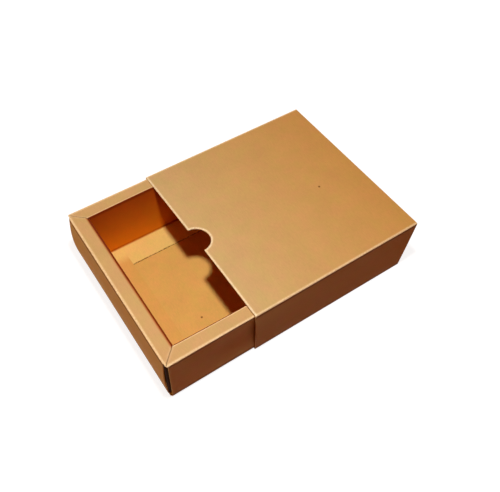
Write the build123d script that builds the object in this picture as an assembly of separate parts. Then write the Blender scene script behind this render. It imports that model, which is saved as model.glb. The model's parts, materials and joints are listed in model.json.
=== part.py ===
from build123d import *
import math
import os

# Kraft paper box: an open sleeve and the drawer tray that slides in it, each folded
# from one die-cut board. Millimetres. The origin is the centre of the sleeve's
# underside, +Z is up, and the tray is pulled out towards -Y.
# A board is divided into panels by its creases. Two panels that share a crease meet
# face to face at the middle of its bend.

# Board
board = 0.6
bend_inner = 0.3
bend_outer = bend_inner + board

# Sleeve
sleeve_width = 140.0
sleeve_length = 138.0
sleeve_height = 50.0
mouth_rake = 4.0
notch_radius = 10.0
glue_flap_width = 15.0
glue_flap_taper = 4.0
seam_setback = 0.5

# Fit of the tray in the sleeve
side_clearance = 0.8
floor_clearance = 0.3
roof_clearance = 0.6
end_setback = 0.5
pull_out = 63.5

# Tray
rim_width = 10.5
mitre_gap = 0.3
rim_setback = 0.3
side_panel_setback = 1.6
corner_gap = 1.8
tab_length = 28.0
tab_taper = 5.0
tab_relief = 0.5
side_foot = 20.0
end_foot = 19.0
foot_taper = 3.5
side_inner_slit = 0.15
end_inner_slit = 0.4

# The tray's outside, from the space in the sleeve. The glue flap lies on the bottom panel.
tray_width = sleeve_width - 2 * (board + side_clearance)
tray_length = sleeve_length - 2 * end_setback
tray_underside = 2 * board + floor_clearance
tray_top = sleeve_height - board - roof_clearance
mouth_y = -sleeve_length / 2
tray_front_y = mouth_y - pull_out
tray_rear_y = tray_front_y + tray_length
tray_middle_y = (tray_front_y + tray_rear_y) / 2

# The side of a panel that is outermost round a crease, and half of a right-angled crease's turn
FACE = "face"
BACK = "back"
HALF_TURN = 45.0


def half_bend(length, convex):
    """One half of a crease, along X, rolled down from the flat panel that begins at Y = bend_outer."""

    def bend_point(radius, degrees):
        across = bend_outer - radius * math.sin(math.radians(degrees))
        up = radius * math.cos(math.radians(degrees)) - bend_outer
        return (across, up if convex == FACE else -board - up)

    turns = (0, HALF_TURN / 2, HALF_TURN)
    outer_arc = ThreePointArc(*[bend_point(bend_outer, turn) for turn in turns])
    inner_arc = ThreePointArc(*[bend_point(bend_inner, turn) for turn in turns])
    profile = make_face(
        [
            outer_arc,
            Line(outer_arc @ 1, inner_arc @ 1),
            inner_arc,
            Line(inner_arc @ 0, outer_arc @ 0),
        ]
    )
    return extrude(Plane.YZ.offset(-length / 2) * profile, amount=length, dir=(1, 0, 0))


def panel(length, span, low=None, high=None, left=None, right=None):
    """A panel with its face on Z = 0, centred on X, from Y = 0 to Y = span.

    Each side is a cut edge, or a crease with FACE or BACK outermost.
    """
    x_low = -length / 2 + (bend_outer if left else 0)
    x_high = length / 2 - (bend_outer if right else 0)
    y_low = bend_outer if low else 0
    y_high = span - (bend_outer if high else 0)
    x_middle = (x_low + x_high) / 2
    y_middle = (y_low + y_high) / 2
    solid = Pos(x_middle, y_middle, -board / 2) * Box(x_high - x_low, y_high - y_low, board)
    if low:
        solid += Pos(x_middle, 0, 0) * half_bend(x_high - x_low, low)
    if high:
        solid += Pos(x_middle, span, 0) * Rot(0, 0, 180) * half_bend(x_high - x_low, high)
    if left:
        solid += Pos(-length / 2, y_middle, 0) * Rot(0, 0, -90) * half_bend(y_high - y_low, left)
    if right:
        solid += Pos(length / 2, y_middle, 0) * Rot(0, 0, 90) * half_bend(y_high - y_low, right)
    return solid


def trim(solid, outline):
    """Cut a panel along an outline drawn on its face."""
    plate = extrude(make_face(Polyline(*outline, close=True)), amount=3 * bend_outer, dir=(0, 0, 1))
    return solid & Pos(0, 0, -2 * bend_outer) * plate


def tapered(solid, length, span, taper):
    """Draw in both ends of a flap from its crease to its free edge."""
    half = length / 2
    return trim(
        solid,
        [
            (-half, 0),
            (half, 0),
            (half, bend_outer),
            (half - taper, span),
            (taper - half, span),
            (-half, bend_outer),
        ],
    )


def mitred(solid, length):
    """Cut the ends of a rim at 45 degrees, from the tray's outer corners to its inner ones."""
    outer_half = length / 2 - mitre_gap * math.sqrt(0.5)
    inner_half = outer_half - rim_width
    return trim(
        solid,
        [(-outer_half, 0), (outer_half, 0), (inner_half, rim_width), (-inner_half, rim_width)],
    )


def double_wall(corner_length, outer_length, inner_length, foot, foot_underside, tabs):
    """A hollow wall, along X, with its outer face on Y = 0 and the inside of the tray at +Y.

    The board rises as the outer panel, turns over the rim, comes down as the inner
    panel and ends in a foot flap on the tray's base. The end walls have corner tabs.
    """
    tab_crease = FACE if tabs else None
    foot_span = foot + board
    outer = panel(outer_length, tray_top - tray_underside, FACE, FACE, tab_crease, tab_crease)
    rim_length = corner_length - 2 * rim_setback
    rim = mitred(panel(rim_length, rim_width, FACE, FACE), corner_length)
    inner = panel(inner_length, tray_top - foot_underside, FACE, BACK)
    flap = tapered(panel(inner_length, foot_span, BACK), inner_length, foot_span, foot_taper)
    return {
        "outer_panel": Pos(0, 0, tray_underside) * Rot(90, 0, 0) * outer,
        "rim": Pos(0, 0, tray_top) * rim,
        "inner_panel": Pos(0, rim_width, tray_top) * Rot(-90, 0, 0) * inner,
        "foot_flap": Pos(0, rim_width - board, foot_underside + board) * flap,
    }


def corner_tab(outer_length, hand):
    """A tab on an end wall's outer panel, turned in to lie along a side wall. hand is 1 or -1."""
    height = tray_top - tray_underside - 2 * (board + tab_relief)
    tab = tapered(panel(height, tab_length, FACE), height, tab_length, tab_taper)
    crease = Plane(
        origin=(hand * outer_length / 2, 0, (tray_top + tray_underside) / 2),
        x_dir=(0, 0, -hand),
        z_dir=(hand, 0, 0),
    )
    return crease * tab


def raked(solid, span, hand):
    """Slope a sleeve side's mouth edge back towards its foot. hand is the mouth's end, 1 or -1."""
    mouth = hand * sleeve_length / 2
    foot = mouth - hand * mouth_rake
    return trim(
        solid,
        [
            (-mouth, 0),
            (foot, 0),
            (foot, bend_outer),
            (mouth, span - bend_outer),
            (mouth, span),
            (-mouth, span),
        ],
    )


def sleeve_parts():
    """The sleeve: a tube of four panels, closed by a glue flap on the bottom panel at the left.

    The tube's mouth is cut back a little underneath, and its side panels slope to meet that.
    """
    left_height = sleeve_height - board
    bottom_length = sleeve_length - mouth_rake
    top = panel(sleeve_width, sleeve_length, left=FACE, right=FACE)
    top -= Pos(0, 0, -board / 2) * Cylinder(notch_radius, 2 * board)
    left = raked(panel(sleeve_length, left_height, FACE, FACE), left_height, 1)
    right = raked(panel(sleeve_length, sleeve_height, FACE, FACE), sleeve_height, -1)
    bottom = panel(bottom_length, sleeve_width - seam_setback, None, FACE)
    flap = panel(bottom_length, glue_flap_width, FACE)
    flap = tapered(flap, bottom_length, glue_flap_width, glue_flap_taper)
    left_x = -sleeve_width / 2
    right_x = sleeve_width / 2
    bottom_y = mouth_rake / 2
    seam = {"x_dir": (0, 1, 0), "z_dir": (0, 0, -1)}
    return {
        "sleeve_top_panel": Pos(0, mouth_y, sleeve_height) * top,
        "sleeve_left_panel": Plane((left_x, 0, board), x_dir=(0, -1, 0), z_dir=(-1, 0, 0)) * left,
        "sleeve_right_panel": Plane((right_x, 0, 0), x_dir=(0, 1, 0), z_dir=(1, 0, 0)) * right,
        "sleeve_bottom_panel": Plane((left_x + seam_setback, bottom_y, 0), **seam) * bottom,
        "sleeve_glue_flap": Plane((left_x, bottom_y, board), **seam) * flap,
    }


def tray_parts():
    """The tray: a base, four hollow walls and four corner tabs."""
    base = panel(tray_width, tray_length, FACE, FACE, FACE, FACE)
    parts = {"tray_base": Pos(0, tray_rear_y, tray_underside) * Rot(180, 0, 0) * base}

    # The end panels' tabs pass inside the side panels, which stop short of the corners.
    end_outer_length = tray_width - 2 * (board + corner_gap)
    side_outer_length = tray_length - 2 * side_panel_setback
    end_inner_length = tray_width - 2 * (rim_width + end_inner_slit)
    side_inner_length = tray_length - 2 * (rim_width + side_inner_slit)

    # The side feet lie on the base, and the end feet lie over them.
    side_foot_underside = tray_underside + board
    end_foot_underside = side_foot_underside + board

    end_wall = double_wall(
        tray_width, end_outer_length, end_inner_length, end_foot, end_foot_underside, True
    )
    side_wall = double_wall(
        tray_length, side_outer_length, side_inner_length, side_foot, side_foot_underside, False
    )
    places = {
        "front": (end_wall, Pos(0, tray_front_y, 0)),
        "rear": (end_wall, Pos(0, tray_rear_y, 0) * Rot(0, 0, 180)),
        "left": (side_wall, Pos(-tray_width / 2, tray_middle_y, 0) * Rot(0, 0, -90)),
        "right": (side_wall, Pos(tray_width / 2, tray_middle_y, 0) * Rot(0, 0, 90)),
    }
    for side, (wall, place) in places.items():
        for name, solid in wall.items():
            parts[f"tray_{side}_{name}"] = place * solid

    # Seen from outside the rear wall, the tray's left side is on the right.
    for end, hands in {"front": ("left", "right"), "rear": ("right", "left")}.items():
        for side, hand in zip(hands, (-1, 1)):
            tab = corner_tab(end_outer_length, hand)
            parts[f"tray_corner_tab_{end}_{side}"] = places[end][1] * tab
    return parts


def main():
    os.makedirs("parts", exist_ok=True)
    parts = sleeve_parts() | tray_parts()
    for name, solid in parts.items():
        solid.label = name
        export_step(solid, f"parts/{name}.step")
        print(f"{name}: {solid.volume:.1f} mm3")
    print(f"{len(parts)} nodes, {sum(solid.volume for solid in parts.values()):.0f} mm3")


main()
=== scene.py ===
# %% [markdown]
# Kraft drawer box
#
# The real box is two die-cut sheets of brown kraft board. One is wrapped into a flat tube, the
# sleeve. The other is folded up into a tray whose walls are hollow: the board goes up, over the
# rim, down again and ends in a foot on the tray's floor. Nothing else holds the box together.
# So this lesson is about one thing, a thin sheet that is folded, and about how kraft board looks.
#
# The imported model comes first. It says where every panel is, and all sizes below are read from it.

import json
import math

import bmesh
import bpy
import numpy as np
from mathutils import Matrix, Vector, noise


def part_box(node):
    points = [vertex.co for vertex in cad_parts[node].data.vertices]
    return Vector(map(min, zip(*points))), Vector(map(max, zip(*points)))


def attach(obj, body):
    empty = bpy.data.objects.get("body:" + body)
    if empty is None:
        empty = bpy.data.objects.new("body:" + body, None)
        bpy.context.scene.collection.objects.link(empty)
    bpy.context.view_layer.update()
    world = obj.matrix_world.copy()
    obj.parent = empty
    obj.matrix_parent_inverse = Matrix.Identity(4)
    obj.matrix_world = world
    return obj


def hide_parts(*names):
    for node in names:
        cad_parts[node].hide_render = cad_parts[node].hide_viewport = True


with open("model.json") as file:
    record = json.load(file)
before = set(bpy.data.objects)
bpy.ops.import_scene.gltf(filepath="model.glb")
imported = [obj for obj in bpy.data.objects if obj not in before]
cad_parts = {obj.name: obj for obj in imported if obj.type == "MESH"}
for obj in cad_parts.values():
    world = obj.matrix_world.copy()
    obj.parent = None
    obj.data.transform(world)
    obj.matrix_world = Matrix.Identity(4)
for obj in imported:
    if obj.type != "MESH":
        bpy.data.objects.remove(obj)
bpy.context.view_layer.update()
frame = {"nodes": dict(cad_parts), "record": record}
print("panels in the packed model:", len(frame["nodes"]))

# %% [markdown]
# Sizes
#
# The board is the one thing that every piece shares: 0.6 mm thick, and bent round an inner radius
# of 0.3 mm where it is creased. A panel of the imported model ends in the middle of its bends, so
# its box stops short of the folded corner by a small reach, which is added back here.

# %% Read the sizes of the sleeve and the tray
MM = 0.001
BOARD = 0.6 * MM
BEND_INNER = 0.3 * MM
BEND_OUTER = BEND_INNER + BOARD
CREASE_REACH = BEND_OUTER * (1 - math.sqrt(0.5))


def body_box(body):
    """Lowest and highest corner of all the panels on a body."""
    boxes = [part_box(name) for name in frame["record"]["behaviour"]["bodies"][body]]
    low = Vector([min(box[0][axis] for box in boxes) for axis in range(3)])
    high = Vector([max(box[1][axis] for box in boxes) for axis in range(3)])
    return low, high


sleeve_low, sleeve_high = body_box("sleeve")
tray_low, tray_high = body_box("tray")
sleeve_half = sleeve_high.x
sleeve_top = sleeve_high.z
mouth_y = sleeve_low.y
rear_y = sleeve_high.y
tray_half = tray_high.x
tray_middle_y = (tray_low.y + tray_high.y) / 2
tray_half_length = (tray_high.y - tray_low.y) / 2
rim_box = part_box("tray_left_rim")
rim_width = rim_box[1].x - rim_box[0].x + 2 * CREASE_REACH
print(f"sleeve {2000 * sleeve_half:.1f} x {1000 * (rear_y - mouth_y):.1f} x {1000 * sleeve_top:.1f} mm")
print(f"tray {2000 * tray_half:.1f} x {2000 * tray_half_length:.1f} mm, rim {1000 * rim_width:.1f} mm")

# %% [markdown]
# A short way to write node trees
#
# Geometry and shader trees are both nodes and links. This small helper adds a node with its
# settings and feeds its sockets, so that a tree can be read from top to bottom like a recipe. A
# value that is a socket becomes a link, and any other value is typed into the socket.

# %% A helper for node trees
class Recipe:
    """A node tree, built by short calls."""

    def __init__(self, tree):
        self.tree = tree

    def feed(self, socket, value):
        """Link a socket to this one, or type a value into it."""
        if isinstance(value, bpy.types.NodeSocket):
            self.tree.links.new(value, socket)
        else:
            socket.default_value = value

    def node(self, kind, inputs=None, **settings):
        """Add a node with its settings, and feed its inputs by name."""
        made = self.tree.nodes.new(kind)
        for name, value in settings.items():
            setattr(made, name, value)
        for name, value in (inputs or {}).items():
            self.feed(made.inputs[name], value)
        return made

    def math(self, operation, *values):
        """The result of a Math node."""
        made = self.node("ShaderNodeMath", operation=operation)
        for socket, value in zip(made.inputs, values):
            self.feed(socket, value)
        return made.outputs[0]

    def product(self, first, *others):
        """All the numbers multiplied together."""
        for other in others:
            first = self.math("MULTIPLY", first, other)
        return first

    def vector(self, operation, *values, **inputs):
        """The result of a Vector Math node, which is a number for a distance."""
        made = self.node("ShaderNodeVectorMath", inputs, operation=operation)
        for socket, value in zip(made.inputs, values):
            self.feed(socket, value)
        return made.outputs["Value" if operation == "DISTANCE" else "Vector"]

    def spread(self, value, low, high, to_low=0.0, to_high=1.0, smooth=False):
        """Map low..high to to_low..to_high, held at both ends."""
        made = self.node("ShaderNodeMapRange", interpolation_type="SMOOTHSTEP" if smooth else "LINEAR")
        for socket, setting in zip(made.inputs, (value, low, high, to_low, to_high)):
            self.feed(socket, setting)
        return made.outputs["Result"]

    def mix(self, factor, first, second, blend="MIX"):
        """Mix two colours."""
        made = self.node("ShaderNodeMix", data_type="RGBA", blend_type=blend)
        colours = [s for s in made.inputs if s.type == "RGBA"]
        self.feed(made.inputs[0], factor)
        self.feed(colours[0], first)
        self.feed(colours[1], second)
        return [s for s in made.outputs if s.type == "RGBA"][0]


print("node helper ready")

# %% A helper for node groups
def new_group(name, kind, inputs, outputs):
    """A node group with named sockets, and its input and output nodes."""
    tree = bpy.data.node_groups.new(name, kind)
    for in_out, sockets in (("INPUT", inputs), ("OUTPUT", outputs)):
        for label, socket_type, *default in sockets:
            socket = tree.interface.new_socket(label, in_out=in_out, socket_type=socket_type)
            if default:
                socket.default_value = default[0]
    source = tree.nodes.new("NodeGroupInput")
    result = tree.nodes.new("NodeGroupOutput")
    return tree, source.outputs, result.inputs


print("group helper ready")

# %% [markdown]
# What kraft board is made of, as a shader
#
# Kraft board is unbleached wood fibre. From a step away it is one warm brown, but cloudy, because
# the fibres settle unevenly as the sheet forms. Closer, there are small flocks a millimetre or two
# across, single fibres a few millimetres long, lighter or darker than the sheet, and now and then
# a dark fleck of bark. An image of paper would repeat and has one resolution, so the sheet is
# made from noise at each of those scales, in millimetres. Both faces of the board and the base
# use it, so it is a group with named inputs, built once.

# %% Noise, fibres and flecks
# Noise scales are in features a millimetre
CLOUD_SCALE = 0.055
DRIFT_SCALE = 0.12
FLOCK_SCALE = 0.55
FLECK_SCALE = 0.20
FIBRE_LIES = ((0.30, 0.15, 0.25), (1.25, 0.55, -0.40), (2.20, -0.35, 0.60))
FIBRE_STRETCH = (0.30, 4.5, 4.5)
# Each of these fades in from its first number to its second
NOISE_SWING = (0.3, 0.7)
LIGHT_FIBRE = (0.60, 0.72)
DARK_FIBRE = (0.40, 0.28)
SPECK_CHANCE = (0.86, 0.90)
SPECK_EDGE = (0.055, 0.025)
LARGE_SPECK_EDGE = (1.05, 0.45)


def cloudy(r, place, scale, detail, shift=0.0):
    """Noise about zero, -1 to 1, of so many features a millimetre."""
    moved = r.vector("ADD", place, (shift, shift * 0.7, -shift))
    made = r.node("ShaderNodeTexNoise", {"Vector": moved, "Scale": scale, "Detail": detail})
    return r.spread(made.outputs[0], *NOISE_SWING, -1.0, 1.0)


def fibres(r, place):
    """Light and dark fibres: noise drawn out along three lies, of which only the crests are kept."""
    light = 0.0
    dark = 0.0
    for turn in FIBRE_LIES:
        lie = r.node("ShaderNodeMapping", {"Vector": place, "Rotation": turn, "Scale": FIBRE_STRETCH})
        strands = r.node("ShaderNodeTexNoise", {"Vector": lie.outputs[0], "Scale": 1.0, "Detail": 1.0})
        light = r.math("MAXIMUM", light, r.spread(strands.outputs[0], *LIGHT_FIBRE))
        dark = r.math("MAXIMUM", dark, r.spread(strands.outputs[0], *DARK_FIBRE))
    return light, dark


def bark_flecks(r, place, given):
    """Dark specks in a few cells of a cell pattern, and one larger speck at a place of its own."""
    cells = r.node("ShaderNodeTexVoronoi", {"Vector": place, "Scale": FLECK_SCALE, "Randomness": 1.0})
    chosen = r.node("ShaderNodeSeparateColor", {"Color": cells.outputs["Color"]})
    chance = r.spread(chosen.outputs[0], *SPECK_CHANCE)
    speck = r.spread(cells.outputs["Distance"], *SPECK_EDGE, smooth=True)
    from_large = r.vector("DISTANCE", place, r.vector("SCALE", given["Speck"], Scale=1 / MM))
    large = r.spread(from_large, *LARGE_SPECK_EDGE, smooth=True)
    return r.math("MAXIMUM", r.product(speck, chance, given["Fleck"]), large)


print("fibres lie", len(FIBRE_LIES), "ways")

# %% Build the kraft sheet group
ROSY = (1.03, 0.97, 1.04, 1)
OLIVE = (0.975, 1.02, 0.96, 1)
BARK = (0.30, 0.22, 0.18, 1)
FLOCK_SHARE = 0.5
SHEET_ROUGHNESS = 0.66
FLOCK_ROUGHNESS = 0.04
CLOUD_ROUGHNESS = 0.03
FIBRE_HEIGHT = 0.5
FLOCK_HEIGHT = 0.35


def kraft_sheet_group():
    """The sheet without wear: its colour, its roughness and its height."""
    inputs = [
        ("Place", "NodeSocketVector"),
        ("Sheet colour", "NodeSocketColor"),
        ("Cloud", "NodeSocketFloat", 0.03),
        ("Fibre", "NodeSocketFloat", 0.06),
        ("Fleck", "NodeSocketFloat", 0.6),
        ("Speck", "NodeSocketVector"),
    ]
    outputs = [
        ("Colour", "NodeSocketColor"),
        ("Roughness", "NodeSocketFloat"),
        ("Height", "NodeSocketFloat"),
    ]
    tree, given, result = new_group("kraft sheet", "ShaderNodeTree", inputs, outputs)
    r = Recipe(tree)
    place = r.vector("SCALE", given["Place"], Scale=1 / MM)
    clouds = cloudy(r, place, CLOUD_SCALE, 3.0)
    drift = cloudy(r, place, DRIFT_SCALE, 2.0, 37.0)
    flocks = cloudy(r, place, FLOCK_SCALE, 3.0, 11.0)
    light, dark = fibres(r, place)

    # Brightness of the sheet, and a slight drift of its hue between rosy and olive
    bright = r.math("MULTIPLY_ADD", clouds, given["Cloud"], 1.0)
    bright = r.math("MULTIPLY_ADD", flocks, r.math("MULTIPLY", given["Cloud"], FLOCK_SHARE), bright)
    bright = r.math("MULTIPLY_ADD", light, given["Fibre"], bright)
    bright = r.math("MULTIPLY_ADD", dark, r.math("MULTIPLY", given["Fibre"], -1.0), bright)
    rosy = r.mix(1.0, given["Sheet colour"], ROSY, "MULTIPLY")
    olive = r.mix(1.0, given["Sheet colour"], OLIVE, "MULTIPLY")
    hue = r.mix(r.spread(drift, -1.0, 1.0), olive, rosy)
    sheet = r.vector("SCALE", hue, Scale=bright)
    bark = r.mix(1.0, given["Sheet colour"], BARK, "MULTIPLY")
    r.feed(result["Colour"], r.mix(bark_flecks(r, place, given), sheet, bark))

    rough = r.math("MULTIPLY_ADD", flocks, FLOCK_ROUGHNESS, SHEET_ROUGHNESS)
    r.feed(result["Roughness"], r.math("MULTIPLY_ADD", clouds, CLOUD_ROUGHNESS, rough))
    raised = r.math("MULTIPLY", flocks, FLOCK_HEIGHT)
    r.feed(result["Height"], r.math("MULTIPLY_ADD", light, FIBRE_HEIGHT, raised))
    return tree


kraft_sheet = kraft_sheet_group()
print("kraft sheet group:", len(kraft_sheet.nodes), "nodes")

# %% [markdown]
# Wear and painted shade on folds and cuts
#
# Where board is creased and folded its outer skin stretches, so the top panels are paler along
# their folds, in a broken line a millimetre or two wide, which is wear and also a painted
# highlight. On the upright side of a fold, the creasing rule has pressed a line, and a darker
# line of painted shade is laid there that fades away over a few millimetres. A cut edge is
# rubbed by every hand, and its raised fibres catch the light. The meshes carry two numbers for
# this, fold and rub, which are 1 on a fold or a cut and fall to 0 beside it. The group breaks them
# up with noise, and finds the pressed lines of painted shade by height.

# %% Find the pressed lines of painted shade
LINE_START = 0.4 * MM
LINE_CORE = 0.8 * MM
LINE_END = 4.2 * MM


def number_on_mesh(r, name):
    """A number that a mesh keeps on its points, and 0 where it keeps none."""
    return r.node("ShaderNodeAttribute", attribute_name=name).outputs["Fac"]


def line_beside_crease(r, given, inside):
    """How far the pressed line of painted shade has begun at a point, and how strong it is there."""
    height = r.node("ShaderNodeSeparateXYZ", {"Vector": given["Place"]}).outputs["Z"]
    under = r.math("SUBTRACT", given["Upper crease"], height)
    over = r.math("SUBTRACT", height, given["Lower crease"])
    from_crease = r.math("MINIMUM", under, over)
    from_crease = r.math("MULTIPLY_ADD", inside, LINE_CORE, from_crease)
    begun = r.spread(from_crease, LINE_START, LINE_CORE)
    fading = r.spread(from_crease, LINE_END, LINE_CORE, smooth=True)
    return begun, r.math("MULTIPLY", begun, fading)


print(f"pressed lines fade out {LINE_END / MM:.1f} mm from a crease")

# %% Build the wear and painted shade group
# Painted shade: the colour of the pressed lines beside creases
PRESSED_SHADE = (0.34, 0.18, 0.07, 1)
# Painted shade: the thin dark line along each foot's cut
FOOT_EDGE_SHADE = (0.42, 0.30, 0.20, 1)
GRAIN_SCALE = 0.9
PATCH_SCALE = 0.55
# Each of these fades in from its first number to its second
FOLD_EDGE = (0.25, 0.95)
RUB_EDGE = (0.05, 0.60)
FOOT_SHADE_EDGE = (0.62, 0.80)
# These turn noise into how much of a line is there, from low and high noise
BROKEN = (0.30, 0.60, 0.45, 1.0)
NEARLY_WHOLE = (0.45, 1.0, 0.88, 1.0)
IN_PATCHES = (0.42, 0.56, 0.25, 1.0)


def board_wear_group():
    """The sheet's colour with painted shade on its pressed lines, pale folds of wear and painted
    highlight, rubbed cuts, and painted shade along the feet's cuts.
    """
    inputs = [
        ("Place", "NodeSocketVector"),
        ("Colour", "NodeSocketColor"),
        ("Worn colour", "NodeSocketColor"),
        ("Cut colour", "NodeSocketColor"),
        ("Fold wear", "NodeSocketFloat", 0.6),
        ("Cut wear", "NodeSocketFloat", 0.8),
        ("Pressed line", "NodeSocketFloat", 0.5),
        ("Dust line", "NodeSocketFloat", 0.9),
        ("Upper crease", "NodeSocketFloat", 50 * MM),
        ("Lower crease", "NodeSocketFloat", 0.0),
    ]
    outputs = [("Colour", "NodeSocketColor")]
    tree, given, result = new_group("board wear and shade", "ShaderNodeTree", inputs, outputs)
    r = Recipe(tree)
    place = r.vector("SCALE", given["Place"], Scale=1 / MM)
    grain = r.node("ShaderNodeTexNoise", {"Vector": place, "Scale": GRAIN_SCALE, "Detail": 4.0})
    broken = r.spread(grain.outputs[0], *BROKEN)
    even = r.spread(broken, *NEARLY_WHOLE)
    inside = number_on_mesh(r, "inside")
    foot = number_on_mesh(r, "foot")
    off_inside = r.math("SUBTRACT", 1.0, inside)
    off_foot = r.math("SUBTRACT", 1.0, foot)

    # The pressed lines run along upright panels, a little in from their creases, as painted shade
    begun, line = line_beside_crease(r, given, inside)
    pressed = r.product(line, even, given["Pressed line"], off_foot)
    pressed_shaded = r.mix(1.0, given["Colour"], PRESSED_SHADE, "MULTIPLY")
    colour = r.mix(pressed, given["Colour"], pressed_shaded)

    # The skin is paler along a fold, from wear and as a painted highlight, and beside a cut outside the
    # tray
    fold = r.spread(number_on_mesh(r, "fold"), *FOLD_EDGE, smooth=True)
    off_line = r.math("SUBTRACT", 1.0, begun)
    worn_and_lit = r.product(fold, off_line, broken, given["Fold wear"])
    colour = r.mix(worn_and_lit, colour, given["Worn colour"])
    by_cut = number_on_mesh(r, "rub")
    rub = r.spread(by_cut, *RUB_EDGE, smooth=True)
    rubbed = r.product(rub, off_foot, off_inside, broken, given["Cut wear"])
    colour = r.mix(rubbed, colour, given["Cut colour"])

    # On a foot a thin broken line of painted shade lies along the cut instead
    patches = r.node("ShaderNodeTexNoise", {"Vector": place, "Scale": PATCH_SCALE, "Detail": 2.0})
    patchy = r.spread(patches.outputs[0], *IN_PATCHES)
    foot_shade = r.product(r.spread(by_cut, *FOOT_SHADE_EDGE), foot, patchy, given["Dust line"])
    foot_shaded = r.mix(1.0, colour, FOOT_EDGE_SHADE, "MULTIPLY")
    r.feed(result["Colour"], r.mix(foot_shade, colour, foot_shaded))
    return tree


board_wear_and_shade = board_wear_group()
print("board wear and shade group:", len(board_wear_and_shade.nodes), "nodes")

# %% [markdown]
# The finishes of one board
#
# The outer face was pressed smooth against a roller, and hands and daylight have dulled it. On the
# sleeve it is a little deeper in tone towards the rear, which is painted shade. The reverse is
# more orange, and a deeper brown inside the sleeve, which is painted shade. A die-cut edge shows
# the dry core, pale on the sleeve; on the tray it is browner, which is painted shade. Inside the
# tray the walls are painted shade, a deep brown, with painted bounce light that warms them towards
# the floor, and the feet get a paler painted light along the side walls and near the ends of the
# end walls.
# All of these are made by one function from the same groups, with different values. A tint is a
# colour that takes over where the mesh carries a number of that name.

# %% Choose the colours
SLEEVE_COLOUR = (0.565, 0.375, 0.158, 1)
TRAY_COLOUR = (0.585, 0.362, 0.143, 1)
# Painted shade: the sleeve's face darkens towards the rear
REAR_SHADE_TINT = (0.560, 0.283, 0.070, 1)
REVERSE_COLOUR = (0.800, 0.445, 0.112, 1)
# Painted shade: the sleeve's reverse is a deeper brown
SHADY_REVERSE_COLOUR = (0.480, 0.215, 0.055, 1)
# Painted shade: the inner walls' deep brown; below it, painted bounce light that warms them towards the
# floor
WALL_SHADE_TINT = (0.420, 0.075, 0.004, 1)
LOW_BOUNCE_LIGHT_TINT = (0.830, 0.228, 0.006, 1)
# Painted light: the paler feet
FOOT_LIGHT_TINT = (0.900, 0.600, 0.175, 1)
FOOT_TINT = (0.790, 0.420, 0.104, 1)
# Painted shade: the corner tabs' nearly black brown
TAB_SHADE_COLOUR = (0.060, 0.022, 0.008, 1)
# Wear and painted highlight: the pale colour along folds
WORN_HIGHLIGHT_COLOUR = (0.960, 0.730, 0.420, 1)
CUT_COLOUR = (0.950, 0.780, 0.500, 1)
# Painted shade: the tray's cut edges are browner
TRAY_CUT_SHADE_COLOUR = (0.560, 0.360, 0.150, 1)
TRAY_TINTS = (("inside", WALL_SHADE_TINT), ("low", LOW_BOUNCE_LIGHT_TINT), ("foot", FOOT_TINT), ("lit_foot", FOOT_LIGHT_TINT))
print("tints of the tray:", [name for name, tint in TRAY_TINTS])

# %% A helper that makes board
RELIEF = 0.04 * MM
BOARD_GLOSS = 0.06
TOP_SPECK = Vector((6.2, 32.6, 50.0)) * MM
FLOOR_SPECK = Vector((28.9, -83.3, 2.1)) * MM
CREASES = {"sleeve": (sleeve_top, sleeve_low.z), "tray": (tray_high.z, tray_low.z)}


def board_material(name, colour, body, speck=TOP_SPECK, tints=(), **values):
    """Kraft board: the sheet, its wear with painted shade and highlight, and its relief. Values are
    typed into the two groups.
    """
    material = bpy.data.materials.new(name)
    material.use_nodes = True
    r = Recipe(material.node_tree)
    place = r.node("ShaderNodeTexCoord").outputs["Object"]
    for number_name, tint in tints:
        colour = r.mix(number_on_mesh(r, number_name), colour, tint)
    fresh = {"Place": place, "Sheet colour": colour, "Speck": speck}
    sheet = r.node("ShaderNodeGroup", fresh, node_tree=kraft_sheet)
    upper, lower = CREASES[body]
    used = {
        "Place": place,
        "Colour": sheet.outputs["Colour"],
        "Worn colour": WORN_HIGHLIGHT_COLOUR,
        "Cut colour": CUT_COLOUR,
        "Upper crease": upper,
        "Lower crease": lower,
    }
    wear = r.node("ShaderNodeGroup", used, node_tree=board_wear_and_shade)
    for socket_name, value in values.items():
        label = socket_name.replace("_", " ").capitalize()
        for group in (sheet, wear):
            if label in group.inputs:
                group.inputs[label].default_value = value
    relief = r.node("ShaderNodeBump", {"Height": sheet.outputs["Height"], "Distance": RELIEF})
    principled = material.node_tree.nodes["Principled BSDF"]
    r.feed(principled.inputs["Base Color"], wear.outputs["Colour"])
    r.feed(principled.inputs["Roughness"], sheet.outputs["Roughness"])
    r.feed(principled.inputs["Normal"], relief.outputs["Normal"])
    principled.inputs["Specular IOR Level"].default_value = BOARD_GLOSS
    return material


print("creases of the sleeve and the tray:", CREASES)

# %% Make the board's materials
WALL_TURNS = {"front": 0.0, "rear": 180.0, "left": -90.0, "right": 90.0}
END_WALLS = ("front", "rear")

sleeve_face = board_material(
    "kraft_face_sleeve", SLEEVE_COLOUR, "sleeve", tints=(("deep", REAR_SHADE_TINT),),
    fold_wear=0.80, pressed_line=0.95,
)
tray_faces = {
    kind: board_material(
        f"kraft_face_{kind}", TRAY_COLOUR, "tray", tints=TRAY_TINTS,
        fold_wear=0.90, cut_wear=0.12, pressed_line=0.95, dust_line=dust_line,
    )
    for kind, dust_line in (("side", 0.9), ("end", 0.0))
}
tray_face_of = {side: tray_faces["end" if side in END_WALLS else "side"] for side in WALL_TURNS}
# The sleeve's reverse gets a deeper brown, which is painted shade
sleeve_reverse = board_material("kraft_reverse_sleeve", SHADY_REVERSE_COLOUR, "sleeve", cloud=0.04)
tray_reverse = board_material("kraft_reverse_tray", REVERSE_COLOUR, "tray", cloud=0.04)
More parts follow.
